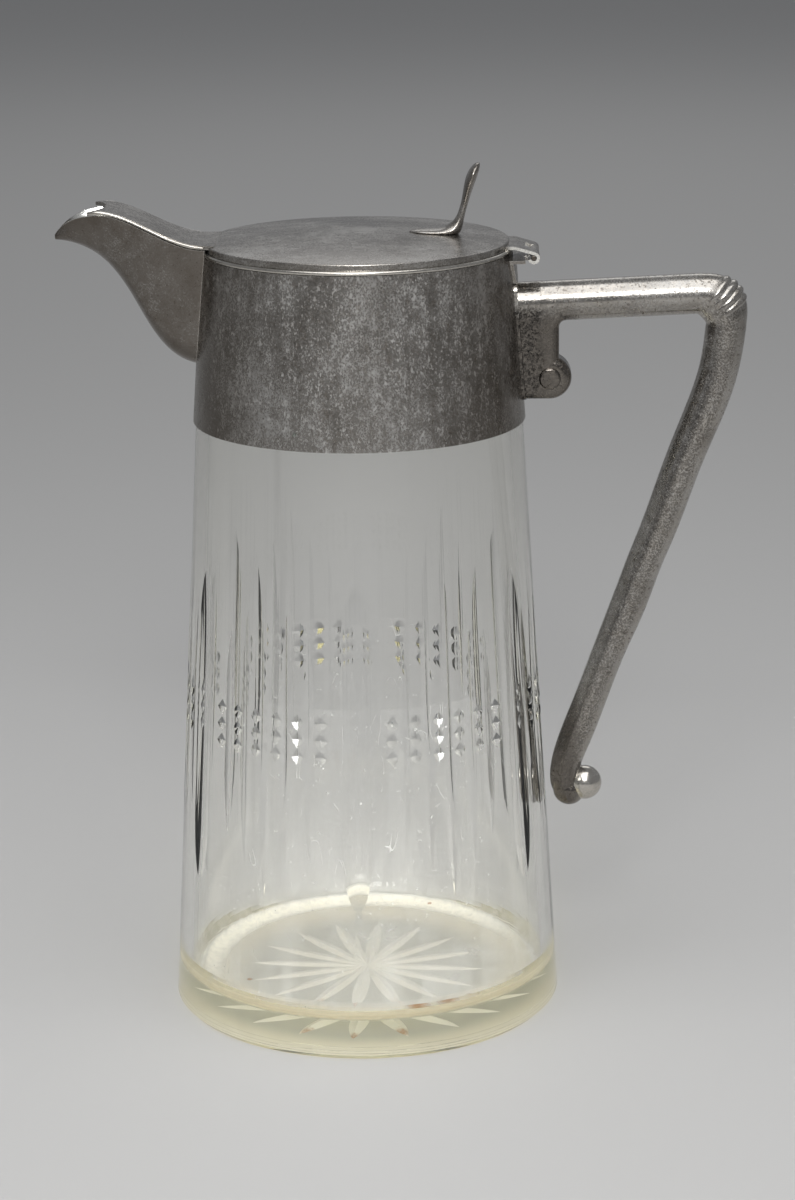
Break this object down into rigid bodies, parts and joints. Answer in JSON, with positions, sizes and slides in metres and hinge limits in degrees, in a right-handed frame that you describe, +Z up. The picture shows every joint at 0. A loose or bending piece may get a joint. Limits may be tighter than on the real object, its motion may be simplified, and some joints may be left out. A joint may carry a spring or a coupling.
{
  "type": "claret jug",
  "caption": "Tapered cut-glass claret jug with a metal collar, beak spout, angular handle with scroll bracket, and a hinged lid with a leaf thumbpiece.",
  "frame": {"origin": "centre of the flat underside of the glass, on the surface that the jug stands on", "axes": "+Z up, +X towards the handle, -X towards the spout; the jug is symmetric about the XZ plane"},
  "size_m": [0.2146, 0.125, 0.271],
  "materials": {
    "glass": "clear cut glass, faintly yellow",
    "plaster": "matte plaster",
    "silver_plate": "worn, tarnished silver plate",
    "pin_steel": "plain steel wire"
  },
  "bodies": {
    "jug": {"glass_body": "glass", "neck_cement": "plaster", "collar": "silver_plate", "collar_rim": "silver_plate", "spout": "silver_plate", "handle_saddle": "silver_plate", "handle": "silver_plate", "handle_ball": "silver_plate", "hinge_leaf": "silver_plate", "hinge_pin": "pin_steel"},
    "lid": {"lid": "silver_plate", "hinge_tab": "silver_plate", "thumbpiece": "silver_plate"}
  },
  "joints": [
    {"name": "lid_hinge", "type": "hinge", "parent": "jug", "child": "lid", "pos_m": [0.0546, 0, 0.2427], "axis": [0, 1, 0], "range_deg": [0, 105]}
  ]
}
